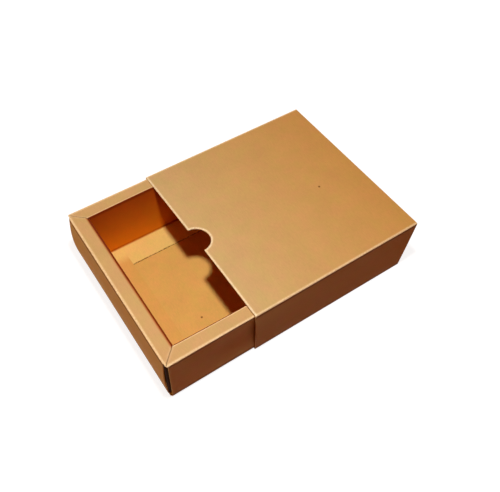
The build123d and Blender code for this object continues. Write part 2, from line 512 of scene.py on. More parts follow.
# The tray's browner cut edges are painted shade
cut_edges = {
    body: board_material(f"kraft_cut_edge_{body}", colour, body, fibre=0.12, pressed_line=0.0)
    for body, colour in (("sleeve", CUT_COLOUR), ("tray", TRAY_CUT_SHADE_COLOUR))
}
print("materials:", [m.name for m in bpy.data.materials if m.name.startswith("kraft")])

# %% [markdown]
# From a folded face to a board
#
# Every folded piece below is first made as a surface with no thickness, the board's outer face.
# Solidify then gives it the board's thickness towards the reverse. It can also give the reverse
# and the cut edges their own materials, counted on from the face's, which is the reason for the
# order of the three slots. Its result is kept as a plain mesh, and the cut edges stay sharp
# while the bends are smooth.

# %% Keep a result, and keep its cuts sharp
SHARP_ANGLE = math.radians(35)
HAIR = 0.001 * MM


def settle(piece):
    """Keep the result of a piece's modifiers as its mesh."""
    depsgraph = bpy.context.evaluated_depsgraph_get()
    mesh = bpy.data.meshes.new_from_object(piece.evaluated_get(depsgraph))
    mesh.name = piece.name
    piece.modifiers.clear()
    piece.data = mesh


def sharpen_cuts(piece):
    """Join a piece's doubled points, then keep its cut edges sharp and its bends smooth."""
    shell = bmesh.new()
    shell.from_mesh(piece.data)
    bmesh.ops.remove_doubles(shell, verts=shell.verts, dist=HAIR)
    for side in shell.faces:
        side.smooth = True
    for edge in shell.edges:
        edge.smooth = edge.calc_face_angle(0) < SHARP_ANGLE
    shell.to_mesh(piece.data)
    shell.free()


print(f"an edge that turns by more than {math.degrees(SHARP_ANGLE):.0f} degrees stays sharp")

# %% Give a face its board
def give_thickness(piece, face, reverse, cut):
    """Make the board behind a piece's face, with its reverse and its cut edges."""
    piece.data.materials.clear()
    for material in (face, reverse, cut):
        piece.data.materials.append(material)
    solid = piece.modifiers.new("board", "SOLIDIFY")
    solid.thickness = BOARD
    solid.offset = -1
    solid.use_rim = True
    solid.material_offset = 1
    solid.material_offset_rim = 2
    settle(piece)
    sharpen_cuts(piece)


def bend_gently(piece, shift):
    """Move a piece's points by a function of their place, which gives a vector."""
    for vertex in piece.data.vertices:
        vertex.co += shift(vertex.co)


def piece_box(piece):
    """A piece's size and place in millimetres, for the notes that each cell prints."""
    places = np.array([vertex.co for vertex in piece.data.vertices]) / MM
    return f"{piece.name}: {places.min(axis=0).round(2)} to {places.max(axis=0).round(2)} mm"


print("board thickness", BOARD / MM, "mm")

# %% [markdown]
# The hollow walls of the tray
#
# All four walls are the same idea at two lengths: a strip of board folded up, over, down and in.
# Four hand-made meshes would repeat the same work, so a Geometry Nodes tree folds the strip. It
# starts from the section of the wall, a line with a point at each corner. The corners are rounded,
# and the straight runs between them are cut into steps.

# %% Place the corners of the section
WALL_SIZES = (
    "Underside", "Top", "Rim width", "Foot level", "Foot", "Foot taper",
    "Corner half", "Mitre gap", "Outer half", "Rim half", "Inner half", "Outer bend", "Inner bend",
    "Clean from", "Crease line",
)


def section_corners(r, given):
    """Corners of the section: in from the base, up, over the rim, down, and in along the foot."""
    foot_end = r.math("ADD", given["Rim width"], given["Foot"])
    corners = [
        (r.math("MULTIPLY", given["Outer bend"], 2.0), given["Underside"]),
        (0.0, given["Underside"]),
        (0.0, given["Top"]),
        (given["Rim width"], given["Top"]),
        (given["Rim width"], given["Foot level"]),
        (foot_end, given["Foot level"]),
    ]
    return [r.node("ShaderNodeCombineXYZ", {"Y": y, "Z": z}).outputs[0] for y, z in corners]


print("a wall is folded from", len(WALL_SIZES), "sizes")

# %% Round the section and cut it into steps
FOLD_STEPS = 8
FLAT_STEP = 1.6 * MM


def choose(r, condition, if_true, if_false):
    """One of two numbers."""
    chosen = r.node("GeometryNodeSwitch", {"Switch": condition}, input_type="FLOAT")
    r.feed(chosen.inputs["True"], if_true)
    r.feed(chosen.inputs["False"], if_false)
    return chosen.outputs[0]


def wall_section(r, given, corners):
    """The section as a line of points, from the middle of its bend with the base."""
    index = r.node("GeometryNodeInputIndex").outputs[0]
    pick = r.node("GeometryNodeIndexSwitch", data_type="VECTOR")
    while len(pick.index_switch_items) < len(corners):
        pick.index_switch_items.new()
    r.feed(pick.inputs["Index"], index)
    for number, place in enumerate(corners):
        r.feed(pick.inputs[str(number)], place)
    line = r.node("GeometryNodeMeshLine", {"Count": len(corners)})
    bent = r.node("GeometryNodeSetPosition", {"Geometry": line.outputs[0], "Position": pick.outputs[0]})
    curve = r.node("GeometryNodeMeshToCurve", {"Mesh": bent.outputs[0]})

    # The face is outside every bend but the foot's, the last corner but one, where it is inside
    at_foot = r.node("FunctionNodeCompare", operation="GREATER_THAN", data_type="FLOAT")
    r.feed(at_foot.inputs[0], index)
    r.feed(at_foot.inputs[1], len(corners) - 2.5)
    radius = choose(r, at_foot.outputs[0], given["Inner bend"], given["Outer bend"])
    rounded = r.node("GeometryNodeFilletCurve", {"Curve": curve.outputs[0]}, mode="POLY")
    r.feed(rounded.inputs["Count"], FOLD_STEPS)
    r.feed(rounded.inputs["Radius"], radius)

    # Straight runs are cut into steps of about the same length
    position = r.node("GeometryNodeInputPosition").outputs[0]
    following = r.node("GeometryNodeFieldAtIndex", data_type="FLOAT_VECTOR")
    r.feed(following.inputs["Value"], position)
    r.feed(following.inputs["Index"], r.math("ADD", index, 1.0))
    run = r.vector("DISTANCE", position, following.outputs[0])
    cuts = r.math("FLOOR", r.math("DIVIDE", run, FLAT_STEP))
    stepped = r.node("GeometryNodeSubdivideCurve", {"Curve": rounded.outputs[0], "Cuts": cuts})

    # The first half of the bend with the base belongs to the base
    section = r.node("GeometryNodeCurveToMesh", {"Curve": stepped.outputs[0]})
    height = r.node("ShaderNodeSeparateXYZ", {"Vector": position}).outputs["Z"]
    start = r.math("MULTIPLY_ADD", given["Outer bend"], 1 - math.sqrt(0.5), given["Underside"])
    early = r.math("LESS_THAN", height, r.math("SUBTRACT", start, HAIR))
    kept = r.node("GeometryNodeDeleteGeometry", {"Geometry": section.outputs[0], "Selection": early})
    return kept.outputs[0]


print("steps of", FLAT_STEP / MM, "mm, and", FOLD_STEPS, "in a bend")

# %% [markdown]
# A sheet on the section
#
# A flat grid becomes the strip. Each row of the grid follows a point of the section, and its columns
# run along the wall, crowding towards the ends, where the shape changes most. The ends of a row are
# cut to length by what it is: an outer panel, a mitred rim, or an inner panel with its tapered foot.

# %% Wrap a grid onto the section
TAPER_START = 0.05
RIM_DROP = 0.3


def row_half_length(r, given, depth, level):
    """Half the length of a row, by its depth in the wall and its level."""
    mitre = r.math("MULTIPLY_ADD", given["Mitre gap"], -math.sqrt(0.5), given["Corner half"])
    rim_half = r.math("MINIMUM", given["Rim half"], r.math("SUBTRACT", mitre, depth))
    past_rim = r.math("SUBTRACT", depth, given["Rim width"])
    down_foot = r.spread(r.math("DIVIDE", past_rim, given["Foot"]), TAPER_START, 1.0)
    taper = r.math("MULTIPLY", down_foot, given["Foot taper"])
    inner_half = r.math("SUBTRACT", given["Inner half"], taper)
    is_outer = r.math("LESS_THAN", depth, r.math("MULTIPLY", given["Rim width"], 0.5))
    panel_half = choose(r, is_outer, given["Outer half"], inner_half)
    below_rim = r.math("SUBTRACT", given["Top"], r.math("MULTIPLY", given["Outer bend"], RIM_DROP))
    is_panel = r.math("LESS_THAN", level, below_rim)
    return choose(r, is_panel, panel_half, rim_half)


def wrapped_grid(r, given, section):
    """The strip, and for each of its points the distance along it and the place on the section."""
    size = r.node("GeometryNodeAttributeDomainSize", {"Geometry": section})
    rows = size.outputs["Point Count"]
    grid = r.node(
        "GeometryNodeMeshGrid",
        {"Size X": 1.0, "Size Y": 1.0, "Vertices X": given["Columns"], "Vertices Y": rows},
    )
    index = r.node("GeometryNodeInputIndex").outputs[0]
    row = r.math("MODULO", index, rows)
    column = r.math("FLOOR", r.math("DIVIDE", index, rows))
    last_column = r.math("SUBTRACT", given["Columns"], 1.0)
    along = r.math("MULTIPLY_ADD", r.math("DIVIDE", column, last_column), 2.0, -1.0)
    crowded = r.math("SINE", r.math("MULTIPLY", along, math.pi / 2))
    sampled = r.node("GeometryNodeSampleIndex", {"Geometry": section}, data_type="FLOAT_VECTOR")
    r.feed(sampled.inputs["Value"], r.node("GeometryNodeInputPosition").outputs[0])
    r.feed(sampled.inputs["Index"], row)
    on_section = sampled.outputs[0]
    split = r.node("ShaderNodeSeparateXYZ", {"Vector": on_section})
    depth = split.outputs["Y"]
    level = split.outputs["Z"]
    x = r.math("MULTIPLY", crowded, row_half_length(r, given, depth, level))
    folded = r.node("ShaderNodeCombineXYZ", {"X": x, "Y": depth, "Z": level})
    placed = {"Geometry": grid.outputs["Mesh"], "Position": folded.outputs[0]}
    return r.node("GeometryNodeSetPosition", placed).outputs[0], x, on_section


print("a row's ends follow its depth and its level")

# %% [markdown]
# Numbers for the finishes
#
# The strip knows where it is folded and which of its rows are inside the tray, so the tree keeps that
# on its points for the materials: near a fold, inside, low on the wall, on the foot, and on the part
# of a foot that gets painted light. Inside and low carry the inner walls' painted shade and painted
# bounce light. On the end walls the inside begins a little before its crease, which paints shade
# along the crease as a dark line. The strip is then put in its place and painted.

# %% Mark the strip
FOLD_CORE = 0.35 * MM
INSIDE_STEP = 0.25 * MM
FOOT_STEP = 0.4 * MM
LOW_FROM = 4 * MM
LOW_TO = 46 * MM
FOOT_LIGHT_FADE = 7 * MM


def wall_numbers(r, given, corners, x, on_section):
    """Numbers for the materials, by name."""
    split = r.node("ShaderNodeSeparateXYZ", {"Vector": on_section})
    past_rim = r.math("SUBTRACT", split.outputs["Y"], given["Rim width"])
    below_top = r.math("SUBTRACT", given["Top"], split.outputs["Z"])
    nearest = r.vector("DISTANCE", on_section, corners[1])
    for place in corners[2:4]:
        nearest = r.math("MINIMUM", nearest, r.vector("DISTANCE", on_section, place))
    folds = r.spread(nearest, FOLD_CORE, given["Fold spread"], 1.0, 0.0)
    # On the end walls the inner panels' painted shade begins before the crease, which paints a dark
    # line along it
    off_bend = r.math("SUBTRACT", r.math("MULTIPLY", given["Outer bend"], -1.0), given["Crease line"])
    on_inner = r.spread(past_rim, off_bend, r.math("ADD", off_bend, INSIDE_STEP))
    off_inner = r.math("SUBTRACT", 1.0, on_inner)
    on_foot = r.spread(r.math("SUBTRACT", past_rim, given["Inner bend"]), 0.0, FOOT_STEP)
    # Painted light on the feet: all along the side walls, and towards the ends of the end walls
    foot_light_to = r.math("ADD", given["Clean from"], FOOT_LIGHT_FADE)
    to_corner = r.spread(r.math("ABSOLUTE", x), given["Clean from"], foot_light_to)
    # Inside and low carry painted shade and painted bounce light, and the last number painted light on
    # the feet
    return {
        "fold": r.math("MULTIPLY", folds, off_inner),
        "inside": on_inner,
        "low": r.math("MULTIPLY", on_inner, r.spread(below_top, LOW_FROM, LOW_TO)),
        "foot": on_foot,
        "lit_foot": r.math("MULTIPLY", on_foot, to_corner),
    }


print(f"the walls warm towards the floor until {LOW_TO / MM:.0f} mm below the rim")

# %% Finish the tree
def folded_wall_tree():
    """The whole tree: section, grid, numbers, place and material."""
    inputs = [("Geometry", "NodeSocketGeometry")]
    inputs += [(name, "NodeSocketFloat") for name in WALL_SIZES]
    inputs += [
        ("Columns", "NodeSocketInt", 64),
        ("Fold spread", "NodeSocketFloat", 2.4 * MM),
        ("Place", "NodeSocketVector"),
        ("Turn", "NodeSocketVector"),
        ("Material", "NodeSocketMaterial"),
    ]
    outputs = [("Geometry", "NodeSocketGeometry")]
    tree, given, result = new_group("folded wall", "GeometryNodeTree", inputs, outputs)
    tree.is_modifier = True
    r = Recipe(tree)
    corners = section_corners(r, given)
    strip, x, on_section = wrapped_grid(r, given, wall_section(r, given, corners))
    for name, number in wall_numbers(r, given, corners, x, on_section).items():
        stored = {"Geometry": strip, "Name": name, "Value": number}
        strip = r.node("GeometryNodeStoreNamedAttribute", stored, data_type="FLOAT").outputs[0]
    placed = r.node("GeometryNodeTransform", {"Geometry": strip})
    r.feed(placed.inputs["Translation"], given["Place"])
    r.feed(placed.inputs["Rotation"], given["Turn"])
    real = r.node("GeometryNodeRealizeInstances", {"Geometry": placed.outputs[0]})
    painted = {"Geometry": real.outputs[0], "Material": given["Material"]}
    r.feed(result["Geometry"], r.node("GeometryNodeSetMaterial", painted).outputs[0])
    return tree


wall_tree = folded_wall_tree()
print("folded wall tree:", len(wall_tree.nodes), "nodes")

# %% [markdown]
# Folding the four walls
#
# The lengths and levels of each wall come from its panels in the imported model. The front and rear
# panels turn inwards at their ends, into the corner tabs, so their strips are cut a little longer
# and the last bit is rolled round afterwards.

# %% Read the sizes of a wall
MITRE_GAP = 0.3 * MM
RIM_SETBACK = 0.8 * MM
FOOT_TAPER = 3.5 * MM
ROLL_LENGTH = BEND_OUTER * math.pi / 4
# Painted light on the end walls' feet starts this far from the middle
END_FOOT_LIGHT_FROM = 42 * MM
# Painted shade: on the end walls the inner tone starts this far before the crease, as a dark line
END_CREASE_SHADE = 0.4 * MM


def half_span(node, axis):
    """Half the length of a panel along an axis."""
    low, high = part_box(node)
    return (high[axis] - low[axis]) / 2


def wall_sizes(side):
    """The numbers that the tree needs for one wall."""
    is_end = side in END_WALLS
    along = 0 if is_end else 1
    across = 1 - along
    corner_half = tray_half if is_end else tray_half_length
    outer_half = half_span(f"tray_{side}_outer_panel", along)
    foot_low, foot_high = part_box(f"tray_{side}_foot_flap")
    foot_reach = foot_high[across] - foot_low[across] - BOARD + CREASE_REACH
    sizes = {
        "Underside": tray_low.z,
        "Top": tray_high.z,
        "Rim width": rim_width,
        "Foot level": foot_low.z + BOARD,
        "Foot": foot_reach,
        "Foot taper": FOOT_TAPER,
        "Corner half": corner_half,
        "Mitre gap": MITRE_GAP,
        "Outer half": outer_half,
        "Rim half": corner_half - RIM_SETBACK,
        "Inner half": half_span(f"tray_{side}_inner_panel", along),
        "Outer bend": BEND_OUTER,
        "Inner bend": BEND_INNER,
        "Clean from": END_FOOT_LIGHT_FROM if is_end else -FOOT_LIGHT_FADE,
        "Crease line": END_CREASE_SHADE if is_end else 0.0,
    }
    if is_end:
        # The end panels' boxes stop in the middle of their corner bends
        sizes["Outer half"] = outer_half + CREASE_REACH - BEND_OUTER + ROLL_LENGTH
    return sizes


for side in WALL_TURNS:
    print(side, "foot reaches", round(wall_sizes(side)["Foot"] / MM, 1), "mm over the base")

# %% Fold the walls
def new_object(name, data):
    """An object, put in the scene."""
    made = bpy.data.objects.new(name, data)
    bpy.context.scene.collection.objects.link(made)
    return made


def set_input(modifier, name, value):
    """Set a geometry nodes input by the identifier of its socket."""
    for item in modifier.node_group.interface.items_tree:
        if item.item_type == "SOCKET" and item.in_out == "INPUT" and item.name == name:
            modifier[item.identifier] = value


def fold_wall(side):
    """One wall's face, folded and in its place."""
    reach = tray_half_length if side in END_WALLS else tray_half
    turn = math.radians(WALL_TURNS[side])
    outward = Vector((math.sin(turn), -math.cos(turn), 0))
    piece = new_object(f"tray_{side}_wall", bpy.data.meshes.new("wall"))
    modifier = piece.modifiers.new("fold", "NODES")
    modifier.node_group = wall_tree
    for name, value in wall_sizes(side).items():
        set_input(modifier, name, value)
    set_input(modifier, "Place", Vector((0, tray_middle_y, 0)) + outward * reach)
    set_input(modifier, "Turn", (0, 0, turn))
    set_input(modifier, "Material", tray_face_of[side])
    settle(piece)
    return piece


walls = {side: fold_wall(side) for side in WALL_TURNS}
for side, wall in walls.items():
    print(side, "wall:", len(wall.data.vertices), "points,", len(wall.data.polygons), "faces")

# %% [markdown]
# What hand folding does to the tray
#
# Folded board is never quite true. The ends of the front and rear panels roll round into the corner
# tabs, on the same radius as every other bend. The outer panels are only held along their creases, so
# the front and rear ones belly out, most at the left, and the side ones are drawn in halfway along.
# The hollow walls are slimmest there too, and the side walls spring out until they nearly touch the
# sleeve. The front wall's inner panel leans in over the floor, the right rim slopes outwards, and all
# the rims rise and sag by a hair. Each of these is a small move of the face's points by a rule.

# %% Roll the corners of the end walls
TAB_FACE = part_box("tray_corner_tab_front_right")[1].x


def roll_ends(wall, outward):
    """Roll the ends of an end wall's outer panel about the upright corner bends."""
    face_y = tray_middle_y + outward * tray_half_length
    roll_start = TAB_FACE - BEND_OUTER
    for vertex in wall.data.vertices:
        depth = (face_y - vertex.co.y) * outward
        past = abs(vertex.co.x) - roll_start
        if past <= 0 or depth > CREASE_REACH or vertex.co.z > tray_high.z - CREASE_REACH:
            continue
        radius = BEND_OUTER - depth
        turned = past / BEND_OUTER
        vertex.co.x = math.copysign(roll_start + radius * math.sin(turned), vertex.co.x)
        vertex.co.y = face_y - outward * (BEND_OUTER - radius * math.cos(turned))


roll_ends(walls["front"], -1)
roll_ends(walls["rear"], 1)
print(f"corner bends at x = {TAB_FACE / MM:.1f} mm")

# %% Say how far the side walls move
SIDE_BELLY = 0.1 * MM
SIDE_WAIST = 2.0 * MM
WAIST_SHARE = 0.35
SLIM_WALL = 0.9 * MM
FLARE = 0.1 * MM
FLARE_REACH = 55 * MM
FLARE_AT_BASE = 0.35
SPRING = 0.6 * MM


def held(value):
    """A number kept within 0 and 1."""
    return max(0.0, min(1.0, value))


def between(start, end, share):
    """The number that lies a share of the way from a start to an end."""
    return start + (end - start) * share


def side_shift(place, up, along):
    """How far a point of a side wall moves to the right."""
    off_middle = abs(place.x)
    to_end = held((abs(along) - WAIST_SHARE) / (1 - WAIST_SHARE))
    belly = SIDE_BELLY * to_end**2 - SIDE_WAIST * (1 - to_end) ** 2
    on_face = held((off_middle - tray_half + BEND_OUTER) / BEND_OUTER)
    outward = belly * on_face * math.sin(math.pi * up)
    if off_middle > tray_half - rim_width - BOARD:
        inner_along = held(abs(place.y - tray_middle_y) / (tray_half_length - rim_width))
        inward = held((tray_half - off_middle) / rim_width)
        outward += SLIM_WALL * inward * up**1.5 * (1 - inner_along**2)
    to_front = held(1 - (place.y - tray_low.y) / FLARE_REACH)
    outward += FLARE * to_front**2 * between(FLARE_AT_BASE, 1, up) * (off_middle / tray_half) ** 3
    outward += SPRING * held((off_middle - TAB_FACE) / (tray_half - TAB_FACE))
    return outward * math.copysign(1, place.x)


print(f"waist {SIDE_WAIST / MM:.1f} mm")

# %% Say how far the end walls and the rims move
LEFT_END_BELLY = 2.4 * MM
RIGHT_END_BELLY = 1.2 * MM
LEFT_FRONT_LEAN = 1.43 * MM
RIGHT_FRONT_LEAN = 0.91 * MM
RIM_SLOPE = 0.3 * MM
RIM_WAVE = 0.14 * MM
WAVES_A_METRE = 22


def end_shift(place, up, along):
    """How far a point of an end wall moves to the rear."""
    to_right = between(0.5, 1, place.x / tray_half)
    on_face = held((abs(along) - 1) * tray_half_length / BEND_OUTER + 1)
    belly = between(LEFT_END_BELLY, RIGHT_END_BELLY, to_right) * on_face * math.sin(math.pi * up)
    behind = place.y - tray_low.y
    lean = between(LEFT_FRONT_LEAN, RIGHT_FRONT_LEAN, to_right) * up**1.5
    lean *= held(behind / rim_width) * held(1 - (behind - rim_width) / FLARE_REACH)
    return math.copysign(belly, along) + lean


def rim_shift(place, up):
    """How far a point of a rim rises."""
    on_rim = place.z > tray_high.z - BEND_OUTER
    wave = RIM_WAVE * noise.noise(place * WAVES_A_METRE) if on_rim else 0.0
    return wave - RIM_SLOPE * up * held((place.x - tray_half + rim_width) / rim_width)


print(f"end bellies {LEFT_END_BELLY / MM:.1f} mm at the left, {RIGHT_END_BELLY / MM:.1f} at the right")

# %% Bend the walls
def wall_warp(place):
    """How far a point of the tray moves from its true place."""
    up = held((place.z - tray_low.z) / (tray_high.z - tray_low.z))
    along = (place.y - tray_middle_y) / tray_half_length
    return Vector((side_shift(place, up, along), end_shift(place, up, along), rim_shift(place, up)))


for wall in walls.values():
    bend_gently(wall, wall_warp)
    print(piece_box(wall))

# %% [markdown]
# Where the die cut the board
#
# A cut edge is rubbed by every hand that opens the box, and its fibres stand up and catch light.
# So the face is paler for a millimetre or so beside it, and on the tray's feet a thin line of painted
# shade lies there instead. Both depend on the distance to the nearest cut, which is measured here for
# every point and kept as a number called rub. The ends of a strip that go on into the next panel
# aren't cuts, so they don't count.

# %% Measure the distance to the cut edges
RUB_REACH = 1.9 * MM


def mark_cut_edges(piece, is_cut):
    """Keep on each point how near it is to a cut edge: 1 on the edge, 0 past the reach."""
    shell = bmesh.new()
    shell.from_mesh(piece.data)
    cuts = [edge for edge in shell.edges if edge.is_boundary and is_cut(edge)]
    starts = np.array([edge.verts[0].co for edge in cuts])
    spans = np.array([edge.verts[1].co for edge in cuts]) - starts
    lengths = np.maximum((spans**2).sum(axis=1), HAIR**2)
    rub = []
    for vertex in shell.verts:
        from_start = np.array(vertex.co) - starts
        along = np.clip((from_start * spans).sum(axis=1) / lengths, 0, 1)
        gaps = from_start - spans * along[:, None]
        nearest = math.sqrt((gaps**2).sum(axis=1).min())
        rub.append(max(0, 1 - nearest / RUB_REACH))
    shell.free()
    piece.data.attributes.new("rub", "FLOAT", "POINT").data.foreach_set("value", rub)
    return len(cuts)


def is_wall_cut(edge):
    """The strip's free edges, not its bends into the base and the corner tabs."""
    middle = (edge.verts[0].co + edge.verts[1].co) / 2
    on_end = tray_half_length - abs(middle.y - tray_middle_y) < 2 * CREASE_REACH
    in_corner = on_end and abs(middle.x) > TAB_FACE - BEND_OUTER
    below_rim = middle.z < tray_high.z - CREASE_REACH
    return middle.z > tray_low.z + 2 * CREASE_REACH and not (in_corner and below_rim)


for side, wall in walls.items():
    print(side, "wall:", mark_cut_edges(wall, is_wall_cut), "cut edges")

# %% Give the walls their board
for side, wall in walls.items():
    give_thickness(wall, tray_face_of[side], tray_reverse, cut_edges["tray"])
    panels = ("outer_panel", "rim", "inner_panel", "foot_flap")
    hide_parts(*(f"tray_{side}_{panel}" for panel in panels))
    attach(wall, "tray")
    print(piece_box(wall), len(wall.data.polygons), "faces")

# %% [markdown]
# The sleeve
#
# The sleeve is one sheet wrapped into a tube and glued along a flap. It could be a bent box with a
# hole cut in it, but a cut leaves long thin faces that spoil the shading round the notch. Here
# its outline is walked once round, from the free edge of the bottom panel to the free edge of the
# glue flap, and a row of points is laid from the mouth to the rear at each step. The rows of the
# top panel simply begin further back where the thumb notch is. The mouth is raked, so the rows of
# the side panels begin further back the lower they are. It is also a little askew: to the right
# of the notch, the top's edge stands back by most of a millimetre.

# %% Walk round the sleeve's outline
GLUE = 0.03 * MM
NOTCH_RADIUS = 10 * MM
NOTCH_STEPS = 28
TOP_STEPS = 26
BOTTOM_STEPS = 44
SIDE_STEPS = 22
FLAP_STEPS = 16
flap_low, flap_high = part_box("sleeve_glue_flap")
FLAP_FACE = flap_low.z + GLUE


def eased(start, end, steps):
    """Numbers from start to end, closer together near both."""
    return [between(start, end, (1 - math.cos(math.pi * i / steps)) / 2) for i in range(steps + 1)]


def bend(x, z, start):
    """The inner points of a quarter bend about x, z, from an angle in degrees."""
    angles = [math.radians(start + 90 * i / FOLD_STEPS) for i in range(1, FOLD_STEPS)]
    return [(x + BEND_OUTER * math.cos(a), z + BEND_OUTER * math.sin(a)) for a in angles]


def sleeve_outline():
    """Points round the sleeve's outer face, as across and height."""
    side = sleeve_half - BEND_OUTER
    top = sleeve_top - BEND_OUTER
    flap = FLAP_FACE + BEND_OUTER
    turns = [math.pi * i / NOTCH_STEPS for i in range(1, NOTCH_STEPS)]
    top_run = eased(side, NOTCH_RADIUS, TOP_STEPS)
    top_run += [NOTCH_RADIUS * math.cos(turn) for turn in turns]
    top_run += eased(-NOTCH_RADIUS, -side, TOP_STEPS)
    points = [(x, 0.0) for x in eased(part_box("sleeve_bottom_panel")[0].x, side, BOTTOM_STEPS)]
    points += bend(side, BEND_OUTER, -90)
    points += [(sleeve_half, z) for z in eased(BEND_OUTER, top, SIDE_STEPS)]
    points += bend(side, top, 0)
    points += [(x, sleeve_top) for x in top_run]
    points += bend(-side, top, 90)
    points += [(-sleeve_half, z) for z in eased(top, flap, SIDE_STEPS)]
    points += bend(-side, flap, 180)
    points += [(x, FLAP_FACE) for x in eased(-side, flap_high.x, FLAP_STEPS)]
    return points


outline = sleeve_outline()
print("outline of", len(outline), "points")

# %% Say where the rows begin and end
FLAP_TAPER = 4 * MM
MOUTH_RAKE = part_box("sleeve_bottom_panel")[0].y - mouth_y
MOUTH_SKEW = 0.7 * MM
SKEW_REACH = 12 * MM


def row_insets(x, z):
    """How far in from the mouth and from the rear a row of the sleeve begins and ends."""
    down = held((sleeve_top - BEND_OUTER - z) / (sleeve_top - 2 * BEND_OUTER))
    to_right = held(0.5 + x / (2 * SKEW_REACH))
    skew = MOUTH_SKEW * to_right**2 * (3 - 2 * to_right)
    rake = MOUTH_RAKE * down + skew * (1 - down)
    if z == sleeve_top and abs(x) < NOTCH_RADIUS:
        return rake + math.sqrt(NOTCH_RADIUS**2 - x**2), 0.0
    if z == FLAP_FACE:
        taper = FLAP_TAPER * (x + sleeve_half) / (flap_high.x + sleeve_half)
        return rake + taper, taper
    return rake, 0.0


print(f"the mouth is cut back {MOUTH_RAKE / MM:.1f} mm underneath")

# %% Lay the rows from mouth to rear
SLEEVE_ROW = 44
SLEEVE_FOLD_SPREAD = 2.6 * MM
DEEPENING = 0.8


def fold_amounts(points):
    """1 in the bends of an outline, and 0 from a little way beside them."""
    corners = [
        (sleeve_half, 0.0),
        (sleeve_half, sleeve_top),
        (-sleeve_half, sleeve_top),
        (-sleeve_half, FLAP_FACE),
    ]
    fade = SLEEVE_FOLD_SPREAD - FOLD_CORE
    nearest = [min(math.dist(point, corner) for corner in corners) for point in points]
    return [held((SLEEVE_FOLD_SPREAD - gap) / fade) for gap in nearest]


def lay_sleeve():
    """The sleeve's outer face as a mesh, with its folds marked, and how deep its painted shade is."""
    vertices = []
    for x, z in outline:
        at_mouth, at_rear = row_insets(x, z)
        vertices += [(x, y, z) for y in eased(mouth_y + at_mouth, rear_y - at_rear, SLEEVE_ROW)]
    across = SLEEVE_ROW + 1
    faces = [
        (i * across + j, i * across + j + 1, (i + 1) * across + j + 1, (i + 1) * across + j)
        for i in range(len(outline) - 1)
        for j in range(SLEEVE_ROW)
    ]
    mesh = bpy.data.meshes.new("sleeve")
    mesh.from_pydata(vertices, [], faces)
    folds = np.repeat(fold_amounts(outline), across)
    # Painted shade, deeper towards the rear
    deep = [held((y - mouth_y) / (rear_y - mouth_y)) ** DEEPENING for x, y, z in vertices]
    for name, numbers in (("fold", folds), ("deep", deep)):
        mesh.attributes.new(name, "FLOAT", "POINT").data.foreach_set("value", numbers)
    return mesh


sleeve = new_object("sleeve", lay_sleeve())
print("sleeve face:", len(sleeve.data.polygons), "faces")

# %% [markdown]
# The sleeve's bow
#
# A panel cut open at one edge bows there. The top rises by a millimetre or so in the middle of the
# mouth and settles towards the rear, and the sides belly beside it. The mouth's right corner is
# lifted by half a millimetre, and the left one sinks by a hair.

# %% Bow the sleeve and give it its board
TOP_BOW = 1.2 * MM
BOW_REACH = 45 * MM
RIGHT_BELLY = 0.8 * MM
LEFT_BELLY = 0.5 * MM
REAR_BELLY_SHARE = 0.15
RIGHT_LEAN = 0.2 * MM
RIGHT_LIFT = 0.5 * MM
LEFT_DROOP = 0.1 * MM
DROOP_REACH = 30 * MM


def sleeve_bow(place):
    """How far a point of the sleeve stands from its true place."""
    near_mouth = math.exp(-(((place.y - mouth_y) / BOW_REACH) ** 2))
    up = held(place.z / sleeve_top)
    across = held(1 - (place.x / (sleeve_half - BEND_OUTER)) ** 2)
    rise = TOP_BOW * across if up > 0.5 else 0.0
    belly = RIGHT_BELLY if place.x > 0 else -LEFT_BELLY
    on_face = held((abs(place.x) - sleeve_half + BEND_OUTER) / BEND_OUTER)
    outward = belly * on_face * math.sin(math.pi * up) * between(REAR_BELLY_SHARE, 1, near_mouth)
    to_right = held(0.5 + 0.5 * place.x / sleeve_half)
    lean = RIGHT_LEAN * to_right
    droop = LEFT_DROOP * math.exp(-(((place.x + sleeve_half) / DROOP_REACH) ** 2))
    lift = RIGHT_LIFT * to_right**2 - droop
    return Vector((lean * up * near_mouth + outward, 0, near_mouth * (rise + lift * up)))


def is_top_cut(edge):
    """The mouth's edge on the top panel, where hands rub it."""
    return edge.verts[0].co.y < 0 and edge.verts[0].co.z > sleeve_top - BEND_OUTER


bend_gently(sleeve, sleeve_bow)
print("cut edges on the top panel:", mark_cut_edges(sleeve, is_top_cut))
give_thickness(sleeve, sleeve_face, sleeve_reverse, cut_edges["sleeve"])
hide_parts(*frame["record"]["behaviour"]["bodies"]["sleeve"])
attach(sleeve, "sleeve")
print(piece_box(sleeve), len(sleeve.data.polygons), "faces")

# %% [markdown]
# The base and the corner tabs
#
# The base is flat in the real box too, so it is a copy of the imported panel, with its doubled points
# merged, let out together with the walls round it. It shows its orange reverse inside the tray. The
# corner tabs stay as they are packed. They stand inside the hollow walls, and show only through the
# slots beside the corners, so their nearly black brown is painted shade.

# %% Finish the base and the corner tabs
# The tabs' nearly black brown is painted shade
tab_shade = board_material("kraft_tab_shade", TAB_SHADE_COLOUR, "tray", pressed_line=0.0)
for node in frame["nodes"].values():
    for material_slot in node.material_slots:
        material_slot.material = tab_shade

base_reverse = board_material(
    "kraft_base", REVERSE_COLOUR, "tray", speck=FLOOR_SPECK, cloud=0.04, pressed_line=0.0
)
base = new_object("tray_floor_panel", frame["nodes"]["tray_base"].data.copy())
base.data.materials.clear()
base.data.materials.append(base_reverse)
sharpen_cuts(base)
bend_gently(base, wall_warp)
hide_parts("tray_base")
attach(base, "tray")
print(piece_box(base), len(base.data.polygons), "faces")

# %% [markdown]
# The floor
#
# The box stands on a plain white table. In the camera the floor is white, a little short of full
# under the box, so that a pale shadow shows there. The light that it throws back at the box is
# another matter: the photograph's sides are dark and warm, so for every other ray the floor is a
# dark brown table.

